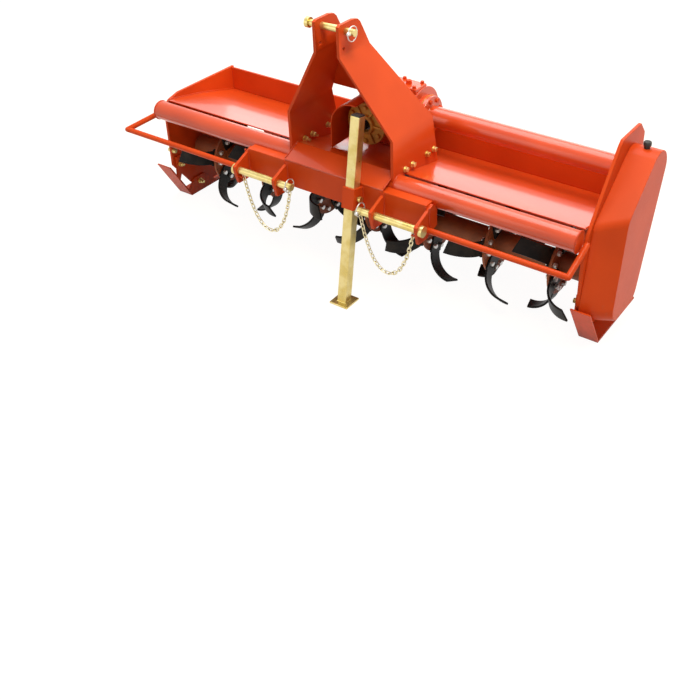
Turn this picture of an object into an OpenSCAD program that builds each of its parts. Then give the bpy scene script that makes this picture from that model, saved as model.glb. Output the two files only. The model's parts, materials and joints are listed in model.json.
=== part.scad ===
// Rotary cultivator for a three-point hitch: hood, headstock, side chain case,
// rotor with curved tines, skids, guard bars, parking stand and hinged tailboard.
// +X points to the chain case, +Y to the rear, +Z up, and the ground is at zero.

/* [Hood] */
// Width between the inner faces of the side plates
hood_w = 1890; // [1600:10:2400]
// Thickness of a side plate
side_t = 12; // [8:1:16]
// Front edge of the side plates
side_front = 184; // [175:1:195]
// Depth of a side plate from front to rear
side_depth = 430; // [420:1:470]
// Lowest edge of the side plates over the ground
side_base = 20; // [15:1:30]
// Top of the left side plate
side_top = 489; // [480:1:520]
// Top of the case plate on the right
case_top = 682; // [670:1:720]
// Diameter of the tube along the front of the hood
front_tube_d = 76; // [60:1:80]
// Height of the front tube's axis
front_tube_z = 450; // [445:1:455]
// Sheet thickness of the deck and tailboard
sheet_t = 6; // [3:1:8]
// Height of the deck's front edge
deck_front_z = 479; // [475:1:484]
// Drop of the deck from front edge to fold
deck_drop_front = 42; // [30:1:50]
// Drop of the deck from fold to rear edge
deck_drop_rear = 52; // [40:1:60]
// Depth of the rear rail
rail_w = 50; // [40:1:60]
// Height of the rear rail
rail_h = 104; // [90:1:120]

/* [Headstock] */
// Distance between the middles of the outer hitch plates
hitch_outer = 820; // [780:2:860]
// Distance between the middles of the inner hitch plates
hitch_inner = 440; // [400:2:480]
// Thickness of hitch and mast plates
hitch_t = 12; // [10:1:16]
// Diameter of the lower hitch pins
lower_pin_d = 28; // [22:1:36]
// Diameter of the top link pin
top_pin_d = 25; // [19:1:32]
// Height of the top link pin over the lower pins
mast_height = 616; // [600:1:640]
// Distance between the middles of the mast's lower walls
mast_w = 458; // [440:2:480]
// Distance between the middles of the mast's ears
ear_w = 100; // [90:2:120]
// Height of the hitch beam
beam_h = 103; // [90:1:110]
// Depth of the hitch beam
beam_w = 42; // [36:1:44]

/* [Drive] */
// Diameter of the tube from gearbox to chain case
drive_tube_d = 80; // [70:1:90]
// Height of the drive tube's axis
drive_z = 575; // [570:1:580]
// Diameter of the gearbox drum
gearbox_d = 210; // [190:1:212]
// Diameter of the splined input shaft
input_d = 35; // [30:1:45]
// Depth of the chain case cover
case_w = 103; // [80:1:120]

/* [Rotor] */
// Radius of the circle that the tine tips run on
rotor_r = 210; // [195:1:212]
// Height of the rotor's axis
rotor_z = 218; // [216:1:222]
// Diameter of the rotor tube
rotor_tube_d = 88; // [76:1:100]
// Diameter of a tine flange
flange_d = 230; // [210:1:236]
// Distance from the left side plate to the first flange
flange_inset = 196; // [185:1:205]
// Tines on one flange
tines_per_flange = 6; // [4:2:6]
// Width of a tine's leg
tine_w = 58; // [50:1:62]
// Thickness of a tine
tine_t = 8; // [6:1:10]
// Free space from the tines of one flange to the middle between two flanges
tine_gap = 13; // [11:1:25]

/* [Stand, skids and guards] */
// Width of the stand's square tube
stand_w = 38; // [30:1:42]
// Lean of the stand from upright
stand_lean = 10; // [8:0.5:11]
// Side of the stand's foot plate
foot_w = 80; // [70:1:100]
// Height of the stand's top end
stand_top = 713; // [650:1:720]
// Width of a skid
skid_w = 75; // [60:1:80]
// Thickness of a skid
skid_t = 8; // [6:1:10]
// Height of a skid's upturned nose
skid_nose_z = 182; // [160:1:200]
// Diameter of a guard bar
guard_d = 22; // [16:1:26]
// Reach of the left guard bar beyond the side plate
guard_left_out = 106; // [80:1:130]
// Distance of the right guard bar's bend inside the case plate's outer face
guard_right_in = 2; // [0:1:10]
// Thickness of the chain links' wire
link_wire = 4; // [3:0.1:5]
// Pitch of the chain links
link_pitch = 18; // [16:1:24]

/* [Tailboard] */
// Height of the tailboard from hinge to lower edge
board_h = 365; // [340:1:372]
// Rearward slope of the tailboard
board_back = 110; // [90:1:150]
// Diameter of the tailboard's hinge rod
hinge_d = 16; // [12:1:18]

/* [Hidden] */
$fn = 48;

// Clearances
gap = 0.3;
run = 0.05;
over = 2;

// Hood places
side_in = hood_w / 2;
side_out = side_in + side_t;
side_rear = side_front + side_depth;
front_tube_y = 160;
deck_gap = 5;
deck_front = front_tube_y + front_tube_d / 2 + deck_gap;
deck_fold_y = 410;
deck_rear = side_rear - side_t - over;
deck_fold_z = deck_front_z - deck_drop_front;
deck_rear_z = deck_fold_z - deck_drop_rear;
rail_rear = deck_rear + rail_w;
rail_lip = 4;
rail_base = deck_rear_z - rail_lip;
rail_wall = 8;
rail_rear_h = 40;

// Rotor places
rotor_y = 350;
flange_count = 7;
flange_t = 10;
flange_right = 134;
flange_pitch = (hood_w - flange_inset - flange_right) / (flange_count - 1);
tine_reach = flange_pitch / 2 - flange_t / 2 - tine_gap;
tine_foot_w = 72;
tine_slant = 20;
stub_d = 50;
bearing_d = 130;
bearing_w = 34;
tube_end_gap = 15;
rotor_half = side_in - tube_end_gap;

// Headstock places
pin_y = 25;
pin_z = 385;
pin_inner_x = 150;
pin_head = 14;
pin_head_share = 1.5;
beam_front = 80;
beam_rear = beam_front + beam_w;
beam_base = 352;
beam_top = beam_base + beam_h;
mast_front = 129;
mast_depth = 259;
mast_base = 457;
mast_rear_run = 40;
bend_low = 631;
bend_high = 916;
ear_front = 80;
ear_depth = 176;
ear_rim = 28;
ear_hole_d = 14;
ear_hole_y = 105;
ear_hole_drop = 58;
ear_top = pin_z + mast_height + ear_rim;
top_pin_y = 120;
top_pin_z = pin_z + mast_height;
top_pin_half = 95;
back_base = 668;
back_t = 8;
floor_ridge = 4.5;
floor_rear = 235;

// Drive places
gearbox_gap = 5;
drive_y = deck_rear - gearbox_d / 2 - gearbox_gap;
gearbox_left = 105;
gearbox_right = 150;
gearbox_flange_d = 150;
gearbox_flange_t = 18;
boss_d = 140;
boss_len = 75;
boss_front = drive_y - gearbox_d / 2 - boss_len;
boss_cap_d = 164;
boss_cap_t = 14;
foot_half = 90;
foot_before = 50;
foot_behind = 70;
foot_front = drive_y - foot_before;
foot_rear = drive_y + foot_behind;
shield_r = 105;
shield_before = 95;
shield_behind = 35;
shield_front = boss_front - shield_before;
shield_rear = boss_front + shield_behind;
shield_right = 12;
shield_t = 5;
input_len = 71;
input_front = boss_front - boss_cap_t - input_len;
input_seat = 70;
journal_step = 5;
journal_d = input_d + 2 * journal_step;
breather_d = 28;
breather_h = 26;
tube_foot_d = 116;
tube_foot_t = 14;

// Stand, guard and chain places
stand_x = 110;
stand_y = 47;
stand_z = 415;
stand_wall = 4;
foot_t = 8;
sleeve_wall = 6;
sleeve_h = 80;
slip = 0.6;
bolt_d = 14;
bolt_head_d = 24;
bolt_head_h = 10;
bolt_len = 16;
guard_y = 70;
guard_z = 366;
guard_end_z = 430;
guard_left_x = side_out + guard_left_out;
guard_right_x = side_out - guard_right_in;
eye_wire = 6;
eye_half = 9;
chain_curve = 48;
link_inner = 8;
link_slack = 0.9;
linch_ring = 21;
linch_wire = 4;
linch_d = 9;
linch_len = 52;
linch_inset = 12;

// Chain from the linch ring to the staple, with an odd number of links
link_step = link_pitch - link_slack;
chain_start_x = pin_inner_x + linch_inset;
chain_span = hitch_outer / 2 - hitch_t / 2 - 2 * eye_half - chain_start_x;
chain_half = chain_curve * (exp(chain_span / 2 / chain_curve) - exp(-chain_span / 2 / chain_curve)) / 2;
link_count = 2 * floor(chain_half / link_step) + 1;
chain_end_s = (link_count - 1) / 2 * link_step + (link_pitch - linch_wire) / 2 - gap;
chain_mid_x = chain_start_x + hang_x(chain_end_s);
chain_end_x = chain_mid_x + hang_x(chain_end_s);
chain_end_z = pin_z - linch_ring;
chain_low_z = chain_end_z - hang_z(chain_end_s);
eye_z = chain_end_z + (linch_wire - eye_wire) / 2;

// Tailboard places
barrel_d = 26;
barrel_gap = 2;
hinge_y = rail_rear + barrel_d / 2 + barrel_gap;
hinge_z = rail_base + barrel_d / 2 + barrel_gap;
board_gap = 18;
board_half = side_in - board_gap;
board_lip = 34;
lug_w = 40;
lug_count = 4;
barrel_w = 60;
lug_gap = 6;

// Middle of the whole machine's outline on the floor
x_mid = (side_out + case_w - guard_left_x - guard_d / 2) / 2;
stand_tan = tan(stand_lean);
foot_y = stand_y - (stand_z - foot_t) * stand_tan;
board_tip_y = hinge_y + board_back + board_lip;
y_mid = (foot_y - foot_w / 2 + board_tip_y) / 2;

// Height of the deck's upper face at a place from front to rear
function deck_z(y) = y < deck_fold_y
    ? deck_front_z - deck_drop_front * (y - deck_front) / (deck_fold_y - deck_front)
    : deck_fold_z - deck_drop_rear * (y - deck_fold_y) / (deck_rear - deck_fold_y);

// Points placed as shares of a box with a given corner and size
function boxed(shares, corner, size) = [for (s = shares) [corner.x + s.x * size.x, corner.y + s.y * size.y]];

// Whole machine in the shared frame
module place() {
    translate([-x_mid, -y_mid, 0]) children();
}

// Outline in Y and Z, extruded along X from x
module along_x(x, length) {
    translate([x, 0, 0]) rotate([90, 0, 90]) linear_extrude(length) children();
}

// Outline in X and Z, extruded along Y from y
module along_y(y, length) {
    translate([0, y + length, 0]) rotate([90, 0, 0]) linear_extrude(length) children();
}

// Round bar along X at y, z
module rod_x(x, length, y, z, d) {
    translate([x, y, z]) rotate([0, 90, 0]) cylinder(h = length, d = d);
}

// Round bar along Y at x, z
module rod_y(x, y, length, z, d) {
    translate([x, y, z]) rotate([-90, 0, 0]) cylinder(h = length, d = d);
}

// Round bar between two points
module bar(a, b, d) {
    v = b - a;
    translate(a) rotate([0, acos(v.z / norm(v)), atan2(v.y, v.x)]) cylinder(h = norm(v), d = d);
}

// Flat sheet profile along a line of points, offset downwards by its thickness
module sheet(points, length, x) {
    along_x(x, length) polygon(concat(points,
        [for (i = [len(points) - 1 : -1 : 0]) points[i] - [0, sheet_t]]));
}

// Columns: share of the plate's depth, share of the plate's height
side_low_shares = [[1, 0.68], [0.8, 0.16], [0.63, 0.01], [0.36, 0], [0.24, 0.05], [0, 0.34]];
side_left_shares = [[0, 0.92], [0.07, 0.97], [0.2, 1], [1, 1]];
case_left_shares = [[0, 0.81], [0.06, 0.94], [0.5, 1.44], [0.55, 1.48], [0.9, 1.48], [1, 1.38]];

module side_outline(top_shares) {
    polygon(boxed(concat(top_shares, side_low_shares),
        [side_front, side_base], [side_depth, side_top - side_base]));
}

module front_tube() {
    color("orangered") rod_x(-side_in, hood_w, front_tube_y, front_tube_z, front_tube_d);
}

module deck() {
    color("orangered") sheet([[deck_front, deck_front_z], [deck_fold_y, deck_fold_z],
        [deck_rear, deck_rear_z]], hood_w, -side_in);
}

module rear_rail() {
    top = rail_base + rail_h;
    color("orangered") difference() {
        union() {
            along_x(-side_in, hood_w) polygon([[deck_rear, rail_base], [deck_rear, top], [deck_rear + rail_wall, top],
                [deck_rear + rail_wall, rail_base + rail_wall], [rail_rear - rail_wall, rail_base + rail_wall],
                [rail_rear - rail_wall, rail_base + rail_rear_h], [rail_rear, rail_base + rail_rear_h],
                [rail_rear, rail_base]]);
            for (i = [0 : lug_count - 1]) hinge_lug(lug_x(i));
        }
        rod_x(-side_in, hood_w, hinge_y, hinge_z, hinge_d + 2 * run);
    }
}

// Middle of each hinge lug along the rail
function lug_x(i) = board_half * (2 * (i + 0.5) / lug_count - 1);

module hinge_lug(x) {
    rod_x(x - lug_w / 2, lug_w, hinge_y, hinge_z, barrel_d);
    start = rail_rear - rail_wall / 2;
    translate([x - lug_w / 2, start, hinge_z - barrel_d / 2]) cube([lug_w, hinge_y - start, barrel_d]);
}

module side_plate() {
    color("orangered") difference() {
        along_x(-side_out, side_t) side_outline(side_left_shares);
        rod_x(-side_out - over, side_t + 2 * over, rotor_y, rotor_z, stub_d + 2 * over);
    }
}

module case_plate() {
    color("orangered") difference() {
        along_x(side_in, side_t) side_outline(case_left_shares);
        rod_x(side_in - over, side_t + 2 * over, rotor_y, rotor_z, stub_d + 2 * run);
    }
}

// Corners of the cover at the plate and at its outer face.
// Columns: share of the side plate's depth, share of its height, radius as a share of the depth
cover_base_shares = [[0.746, 1.215, 0.17], [0.247, 0.896, 0.14], [0.155, 0.32, 0.163], [0.467, 0.316, 0.158]];
cover_face_shares = [[0.746, 1.215, 0.17], [0.351, 0.96, 0.128], [0.265, 0.309, 0.14], [0.467, 0.316, 0.147]];
cover_lip = 6;

module cover_corners(shares, x) {
    for (s = shares)
        rod_x(x, cover_lip, side_front + s.x * side_depth, side_base + s.y * (side_top - side_base),
            2 * s.z * side_depth);
}

module case_cover() {
    color("tomato") hull() {
        cover_corners(cover_base_shares, side_out);
        cover_corners(cover_face_shares, side_out + case_w - cover_lip);
    }
}

module case_breather() {
    s = cover_face_shares[0];
    color("black") translate([side_out + case_w / 2, side_front + s.x * side_depth,
        side_base + s.y * (side_top - side_base) + cover_base_shares[0].z * side_depth])
        cylinder(h = breather_h, d = breather_d);
}

// Columns: share of the skid's flat length, share of the nose's height
skid_nose_shares = [[-0.21, 0.64], [-0.19, 1.14], [-0.06, 1.14], [-0.1, 0.78], [-0.17, 0.5]];
skid_heel_shares = [[0.02, 0], [-0.043, 0.13], [0.09, 0.37], [0.26, 0.37], [0.5, 0]];
skid_nose_y = 153;
skid_heel_y = 260;
skid_tail_y = 585;

// Bent skid with a web against the inner face of a side plate
module skid(sign) {
    inner = side_in - skid_t;
    nose = [skid_nose_y, skid_nose_z];
    heel = [skid_heel_y, 0];
    tail = [skid_tail_y, 0];
    flat = [heel, tail, tail + [0, skid_t], heel + [skid_t / 2, skid_t], nose + [skid_t, 0], nose];
    size = [skid_tail_y - skid_heel_y, skid_nose_z];
    mirror([sign < 0 ? 1 : 0, 0, 0]) {
        along_x(inner, skid_w) polygon(flat);
        for (shares = [skid_nose_shares, skid_heel_shares])
            along_x(inner, skid_t) polygon(boxed(shares, heel + [0, skid_t], size));
    }
}

module skid_left() {
    color("orangered") skid(-1);
}

module skid_right() {
    color("orangered") skid(1);
}

beam_half = hitch_outer / 2 - hitch_t / 2;

module hitch_beam() {
    color("orangered") translate([-beam_half, beam_front, beam_base]) cube([2 * beam_half, beam_w - gap, beam_h]);
}

// Columns: share of the outer plate's depth, share of its height
hitch_shares = [[0, 0.5], [0.12, 0], [0.5, 0], [1, 0.2], [1, 0.82], [0.8, 1], [0, 0.63]];
hitch_depth = 134;
hitch_h = 118;
hitch_base = 333;

module hitch_plate(x, depth_limit) {
    difference() {
        intersection() {
            along_x(x - hitch_t / 2, hitch_t)
                polygon(boxed(hitch_shares, [0, hitch_base], [hitch_depth, hitch_h]));
            along_x(x - hitch_t, 2 * hitch_t) translate([-over, 0]) square([depth_limit + over, mast_height]);
        }
        rod_x(x - hitch_t, 2 * hitch_t, pin_y, pin_z, lower_pin_d + 2 * run);
        rod_x(x - hitch_t, 2 * hitch_t, front_tube_y, front_tube_z, front_tube_d + 2 * gap);
    }
}

module hitch_pair(sign) {
    hitch_plate(sign * hitch_outer / 2, hitch_depth);
    hitch_plate(sign * hitch_inner / 2, beam_front);
    chain_eye(sign);
}

// Staple on the outer plate that holds the chain's last link
module chain_eye(sign) {
    face = hitch_outer / 2 - hitch_t / 2;
    bow = [sign * chain_end_x, pin_y, eye_z];
    for (s = [-1, 1]) {
        translate(bow + [0, s * eye_half, 0]) sphere(d = eye_wire);
        bar(bow + [0, s * eye_half, 0], [sign * face, pin_y + s * eye_half, eye_z], eye_wire);
    }
    bar(bow - [0, eye_half, 0], bow + [0, eye_half, 0], eye_wire);
}

module hitch_left() {
    color("orangered") hitch_pair(-1);
}

module hitch_right() {
    color("orangered") hitch_pair(1);
}

// Columns: share of an ear's depth, share of its height
ear_shares = [[0, 0.95], [0.06, 1], [0.48, 1], [0.62, 0.95], [0.7, 0.84], [0.78, 0.62]];

// Outline of a mast plate seen from the side
module mast_outline() {
    polygon([[mast_front, mast_base], [mast_front, bend_low], [ear_front, bend_high],
        each boxed(ear_shares, [ear_front, bend_high], [ear_depth, ear_top - bend_high]),
        [ear_front + ear_depth, bend_high], [mast_front + mast_depth, bend_low],
        [mast_front + mast_depth + mast_rear_run, deck_z(mast_front + mast_depth + mast_rear_run)],
        [deck_fold_y, deck_fold_z], [deck_front, deck_front_z], [deck_front, mast_base]]);
}

// Bent section of the right mast wall seen from the front
module mast_section() {
    low = mast_w / 2;
    high = ear_w / 2;
    t = hitch_t / 2;
    polygon([[low - t, deck_rear_z], [low + t, deck_rear_z], [low + t, bend_low], [high + t, bend_high],
        [high + t, ear_top], [high - t, ear_top], [high - t, bend_high], [low - t, bend_low]]);
}

module mast_wall(sign) {
    mirror([sign < 0 ? 1 : 0, 0, 0]) difference() {
        intersection() {
            along_x(0, hood_w) mast_outline();
            along_y(0, side_rear) mast_section();
        }
        rod_x(0, mast_w, top_pin_y, top_pin_z, top_pin_d + 2 * run);
        rod_x(0, mast_w, ear_hole_y, top_pin_z - ear_hole_drop, ear_hole_d);
        rod_x(0, hood_w, front_tube_y, front_tube_z, front_tube_d + 2 * gap);
    }
}

module mast_left() {
    color("orangered") mast_wall(-1);
}

module mast_right() {
    color("tomato") mast_wall(1);
}

module mast_back() {
    low = mast_w / 2 - hitch_t / 2;
    high = ear_w / 2 - hitch_t / 2;
    rear_low = mast_front + mast_depth;
    rear_high = ear_front + ear_depth;
    color("orangered") intersection() {
        along_y(0, side_rear) polygon([[-low, bend_low], [low, bend_low], [high, bend_high], [-high, bend_high]]);
        along_x(-mast_w, 2 * mast_w) polygon([[rear_low - back_t, bend_low], [rear_low, bend_low],
            [rear_high, bend_high], [rear_high - back_t, bend_high]]);
        translate([-mast_w, 0, back_base]) cube([2 * mast_w, side_rear, mast_height]);
    }
}

// Upper face of the floor between the mast walls, from the beam over the front tube to the deck
floor_points = [[beam_front, beam_top + sheet_t + gap],
    [front_tube_y, front_tube_z + front_tube_d / 2 + floor_ridge + sheet_t],
    [floor_rear, deck_z(floor_rear) + sheet_t + gap]];

// Height of that floor behind the front tube
function floor_z(y) = floor_points[1].y
    + (floor_points[2].y - floor_points[1].y) * (y - front_tube_y) / (floor_rear - front_tube_y);

module mast_floor() {
    half = mast_w / 2 - hitch_t / 2;
    color("orangered") sheet(floor_points, 2 * half, -half);
}

module gearbox_drum(clear) {
    rod_x(-gearbox_left, gearbox_left + gearbox_right - gearbox_flange_t, drive_y, drive_z, gearbox_d + 2 * clear);
}

module gearbox() {
    color("orangered") {
        gearbox_drum(0);
        rod_x(gearbox_right - gearbox_flange_t, gearbox_flange_t, drive_y, drive_z, gearbox_flange_d);
        along_x(-foot_half, 2 * foot_half) polygon([[foot_front, deck_z(foot_front) + gap],
            [foot_rear, deck_z(foot_rear) + gap], [foot_rear, drive_z - gearbox_d / 4],
            [foot_front, drive_z - gearbox_d / 4]]);
    }
}

// Input housing in front of the drum, with its flange
module gearbox_cap() {
    front = boss_front - boss_cap_t;
    color("goldenrod") difference() {
        union() {
            rod_y(0, boss_front, drive_y - boss_front, drive_z, boss_d);
            rod_y(0, front, boss_cap_t, drive_z, boss_cap_d);
        }
        gearbox_drum(gap);
        rod_y(0, front - over, boss_cap_t + input_seat + over, drive_z, journal_d + 2 * run);
    }
}

// Bent guard over the left half of the input shaft, seen along the shaft
module shield_arch(inner) {
    base = floor_z(shield_front) + gap;
    translate([0, drive_z]) intersection() {
        difference() {
            circle(r = shield_r);
            circle(r = inner);
        }
        translate([-shield_r, 0]) square([shield_r + shield_right, shield_r]);
    }
    translate([-shield_r, base]) square([shield_r - inner, drive_z - base]);
}

module input_shield() {
    wall = shield_rear - shield_t;
    color("orangered") {
        along_y(shield_front, wall - shield_front) shield_arch(shield_r - shield_t);
        along_y(wall, shield_t) shield_arch(boss_d / 2 + gap);
    }
}

module input_shaft() {
    color("dimgray") {
        rod_y(0, input_front, boss_front - boss_cap_t - input_front, drive_z, input_d);
        rod_y(0, boss_front - boss_cap_t, boss_cap_t + input_seat - gap, drive_z, journal_d);
    }
}

module drive_tube() {
    color("orangered") {
        rod_x(gearbox_right, side_in - gearbox_right, drive_y, drive_z, drive_tube_d);
        rod_x(gearbox_right, gearbox_flange_t, drive_y, drive_z, gearbox_flange_d);
        rod_x(side_in - tube_foot_t, tube_foot_t, drive_y, drive_z, tube_foot_d);
    }
}

module rotor_bearing() {
    color("orangered") difference() {
        rod_x(-side_out - bearing_w, bearing_w, rotor_y, rotor_z, bearing_d);
        rod_x(-side_out - bearing_w / 2, bearing_w, rotor_y, rotor_z, stub_d + 2 * run);
    }
}

// Flange places along the rotor
function flange_x(i) = flange_inset - side_in + i * flange_pitch;

module rotor_shaft() {
    color("sienna") {
        rod_x(-rotor_half, 2 * rotor_half, rotor_y, rotor_z, rotor_tube_d);
        rod_x(-side_out - bearing_w / 2 + gap, side_out + bearing_w / 2 + side_out - 2 * gap, rotor_y, rotor_z, stub_d);
        for (i = [0 : flange_count - 1])
            rod_x(flange_x(i) - flange_t / 2, flange_t, rotor_y, rotor_z, flange_d);
    }
}

// Shares of the rotor's radius and of a tine's reach
tine_top_share = 0.985;
tine_bend_share = 0.9;

// Bent section of a tine in sideways reach and radius
module tine_section() {
    bend = tine_reach * tine_bend_share;
    top = rotor_r * tine_top_share;
    foot = rotor_tube_d / 2 + tine_t;
    translate([0, foot]) square([tine_t, top - bend - foot]);
    translate([bend, top - bend]) difference() {
        circle(r = bend);
        circle(r = bend - tine_t);
        translate([0, -rotor_r]) square([rotor_r, 2 * rotor_r]);
        translate([-rotor_r, -2 * rotor_r]) square(2 * rotor_r);
    }
    translate([bend, top - tine_t]) square([tine_reach - bend, tine_t]);
}

// Outline of a tine in the plane of its flange: a broad foot and a straight leg
module tine_outline() {
    foot = rotor_tube_d / 2;
    translate([-tine_foot_w / 2, foot]) square([tine_foot_w, flange_d / 2 - foot]);
    translate([-tine_w / 2, foot]) square([tine_w, rotor_r]);
}

// Outline of a tine seen along its leg, with the slanting cut of its tip
module tine_plan() {
    polygon([[0, -tine_foot_w / 2], [tine_reach, -tine_foot_w / 2], [tine_reach - tine_slant, tine_foot_w / 2],
        [0, tine_foot_w / 2]]);
}

module tine() {
    intersection() {
        rotate([90, 0, 0]) translate([0, 0, -rotor_r]) linear_extrude(2 * rotor_r) tine_section();
        rotate([90, 0, 90]) linear_extrude(tine_reach) tine_outline();
        linear_extrude(rotor_r) tine_plan();
    }
}

// Turn of the first flange, and of each flange after the last
flange_start = 16;
flange_turn = -24;

module tines(sign) {
    step = 360 / tines_per_flange;
    for (i = [0 : flange_count - 1], k = [0 : 2 : tines_per_flange - 1])
        translate([flange_x(i) + sign * flange_t / 2, rotor_y, rotor_z])
            rotate([flange_start + i * flange_turn + (k + (sign > 0 ? 0 : 1)) * step, 0, 0])
                mirror([sign < 0 ? 1 : 0, 0, 0]) tine();
}

module tines_left() {
    color("black") tines(-1);
}

module tines_right() {
    color("black") tines(1);
}

// Guard bar from a hitch plate along the front, and from its bend back to a side plate
module guard(reach, end_x) {
    start = [hitch_outer / 2 + hitch_t / 2, guard_y, guard_z];
    bend = [reach, guard_y, guard_z];
    end = [end_x, side_front, guard_end_z];
    beyond = (end - bend) * guard_d / norm(end - bend);
    difference() {
        union() {
            bar(start, bend, guard_d);
            bar(bend, end + beyond, guard_d);
            translate(bend) sphere(d = guard_d);
        }
        translate(end - [2 * guard_d, 0, 2 * guard_d]) cube(4 * guard_d);
    }
}

module guard_left() {
    color("orangered") mirror([1, 0, 0]) guard(guard_left_x, side_out + guard_d / 4);
}

module guard_right() {
    color("orangered") guard(guard_right_x, side_out + guard_d / 4);
}

// Everything that lies along the leaning stand
module leaning() {
    translate([stand_x, stand_y, stand_z]) rotate([-stand_lean, 0, 0]) children();
}

module square_bar(w, from, to) {
    translate([-w / 2, -w / 2, from]) cube([w, w, to - from]);
}

// Place in Y and Z from a place across and along the leaning stand
function lean_point(u, w) = [stand_y + u * cos(stand_lean) + w * sin(stand_lean),
    stand_z - u * sin(stand_lean) + w * cos(stand_lean)];

// Place across the stand at which its level meets the beam's front
function lean_to_beam(w) = (beam_front - stand_y - w * sin(stand_lean)) / cos(stand_lean);

module stand_sleeve() {
    outer = stand_w + 2 * slip + 2 * sleeve_wall;
    half = sleeve_h / 2;
    color("orangered") difference() {
        along_x(stand_x - outer / 2, outer) polygon([lean_point(-outer / 2, -half), lean_point(-outer / 2, half),
            lean_point(lean_to_beam(half), half), lean_point(lean_to_beam(-half), -half)]);
        leaning() square_bar(stand_w + 2 * slip, -sleeve_h, sleeve_h);
        leaning() rod_x(0, outer, 0, 0, bolt_d + 2 * run);
    }
}

module stand_bolt() {
    face = stand_w / 2 + slip;
    color("silver") leaning() {
        rod_x(face - slip / 2, bolt_len + sleeve_wall, 0, 0, bolt_d);
        rod_x(face + sleeve_wall + bolt_len - bolt_head_h, bolt_head_h, 0, 0, bolt_head_d);
    }
}

module stand() {
    low = (stand_z - foot_t) / cos(stand_lean);
    high = (stand_top - stand_z) / cos(stand_lean);
    color("khaki") {
        intersection() {
            leaning() difference() {
                square_bar(stand_w, -low - foot_w, high);
                square_bar(stand_w - 2 * stand_wall, -low - foot_w - over, high - stand_wall);
            }
            translate([stand_x - foot_w, -hood_w, foot_t]) cube([2 * foot_w, 2 * hood_w, 2 * stand_top]);
        }
        translate([stand_x - foot_w / 2, foot_y - foot_w / 2, 0]) cube([foot_w, foot_w, foot_t]);
    }
}

module lower_pin(sign) {
    outer = hitch_outer / 2 + hitch_t / 2;
    mirror([sign < 0 ? 1 : 0, 0, 0]) difference() {
        union() {
            rod_x(pin_inner_x, outer - pin_inner_x, pin_y, pin_z, lower_pin_d);
            rod_x(outer, pin_head, pin_y, pin_z, pin_head_share * lower_pin_d);
        }
        rod_y(pin_inner_x + linch_inset, pin_y - lower_pin_d, 2 * lower_pin_d, pin_z, linch_d + 2 * run);
    }
}

module lower_pin_left() {
    color("khaki") lower_pin(-1);
}

module lower_pin_right() {
    color("khaki") lower_pin(1);
}

module top_pin() {
    color("khaki") difference() {
        union() {
            rod_x(-top_pin_half, 2 * top_pin_half, top_pin_y, top_pin_z, top_pin_d);
            rod_x(-top_pin_half - pin_head, pin_head, top_pin_y, top_pin_z, pin_head_share * top_pin_d);
        }
        rod_y(top_pin_half - linch_inset, top_pin_y - top_pin_d, 2 * top_pin_d, top_pin_z, linch_d + 2 * run);
    }
}

// Linch pin in a cross hole, with its spring ring closed round the host pin
module linch(point) {
    translate(point) {
        rod_y(0, -linch_len / 2, linch_len, 0, linch_d);
        rotate([0, 90, 0]) rotate_extrude() translate([linch_ring, 0]) circle(d = linch_wire);
    }
}

module linch_left() {
    color("silver") linch([-pin_inner_x - linch_inset, pin_y, pin_z]);
}

module linch_right() {
    color("silver") linch([pin_inner_x + linch_inset, pin_y, pin_z]);
}

module linch_top() {
    color("silver") linch([top_pin_half - linch_inset, top_pin_y, top_pin_z]);
}

// One chain link, long along Z and flat in X
module link() {
    arc = (link_inner + link_wire) / 2;
    straight = (link_pitch + link_wire) / 2 - arc;
    for (s = [-1, 1]) {
        translate([s * arc, 0, -straight]) cylinder(h = 2 * straight, d = link_wire);
        translate([0, 0, s * straight]) rotate([s * 90, 0, 0])
            rotate_extrude(angle = 180) translate([arc, 0]) circle(d = link_wire);
    }
}

// Place along a catenary at a length s from its lowest point
function hang_x(s) = chain_curve * ln(s / chain_curve + sqrt(pow(s / chain_curve, 2) + 1));
function hang_z(s) = sqrt(pow(chain_curve, 2) + s * s) - chain_curve;

// Chain hanging as a catenary from the linch ring to the outer plate's staple
module chain(sign) {
    for (i = [0 : link_count - 1]) {
        s = (i - (link_count - 1) / 2) * link_step;
        translate([sign * (chain_mid_x + hang_x(s)), pin_y, chain_low_z + hang_z(s)])
            rotate([0, sign * (90 - atan(s / chain_curve)), 0]) rotate([0, 0, i % 2 == 0 ? 0 : 90]) link();
    }
}

module chain_left() {
    color("khaki") chain(-1);
}

module chain_right() {
    color("khaki") chain(1);
}

module hinge_rod() {
    color("silver") rod_x(-board_half, 2 * board_half, hinge_y, hinge_z, hinge_d);
}

module tailboard() {
    foot = [hinge_y + board_back, hinge_z - board_h];
    color("orangered") difference() {
        union() {
            along_x(-board_half, 2 * board_half) polygon([[hinge_y + barrel_d / 2 - sheet_t, hinge_z],
                [hinge_y + barrel_d / 2, hinge_z], foot + [sheet_t, sheet_t], foot + [board_lip, sheet_t],
                foot + [board_lip, 0], foot]);
            for (i = [0 : lug_count]) barrel(i);
        }
        rod_x(-side_in, hood_w, hinge_y, hinge_z, hinge_d + 2 * run);
        for (i = [0 : lug_count - 1])
            translate([lug_x(i) - lug_w / 2 - lug_gap, hinge_y - barrel_d, hinge_z - barrel_d])
                cube([lug_w + 2 * lug_gap, 2 * barrel_d + lug_gap, 2 * barrel_d]);
    }
}

// Hinge barrel of the tailboard between two lugs of the rail
module barrel(i) {
    middle = board_half * (2 * i / lug_count - 1);
    from = max(-board_half, middle - barrel_w);
    to = min(board_half, middle + barrel_w);
    rod_x(from, to - from, hinge_y, hinge_z, barrel_d);
}

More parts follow.
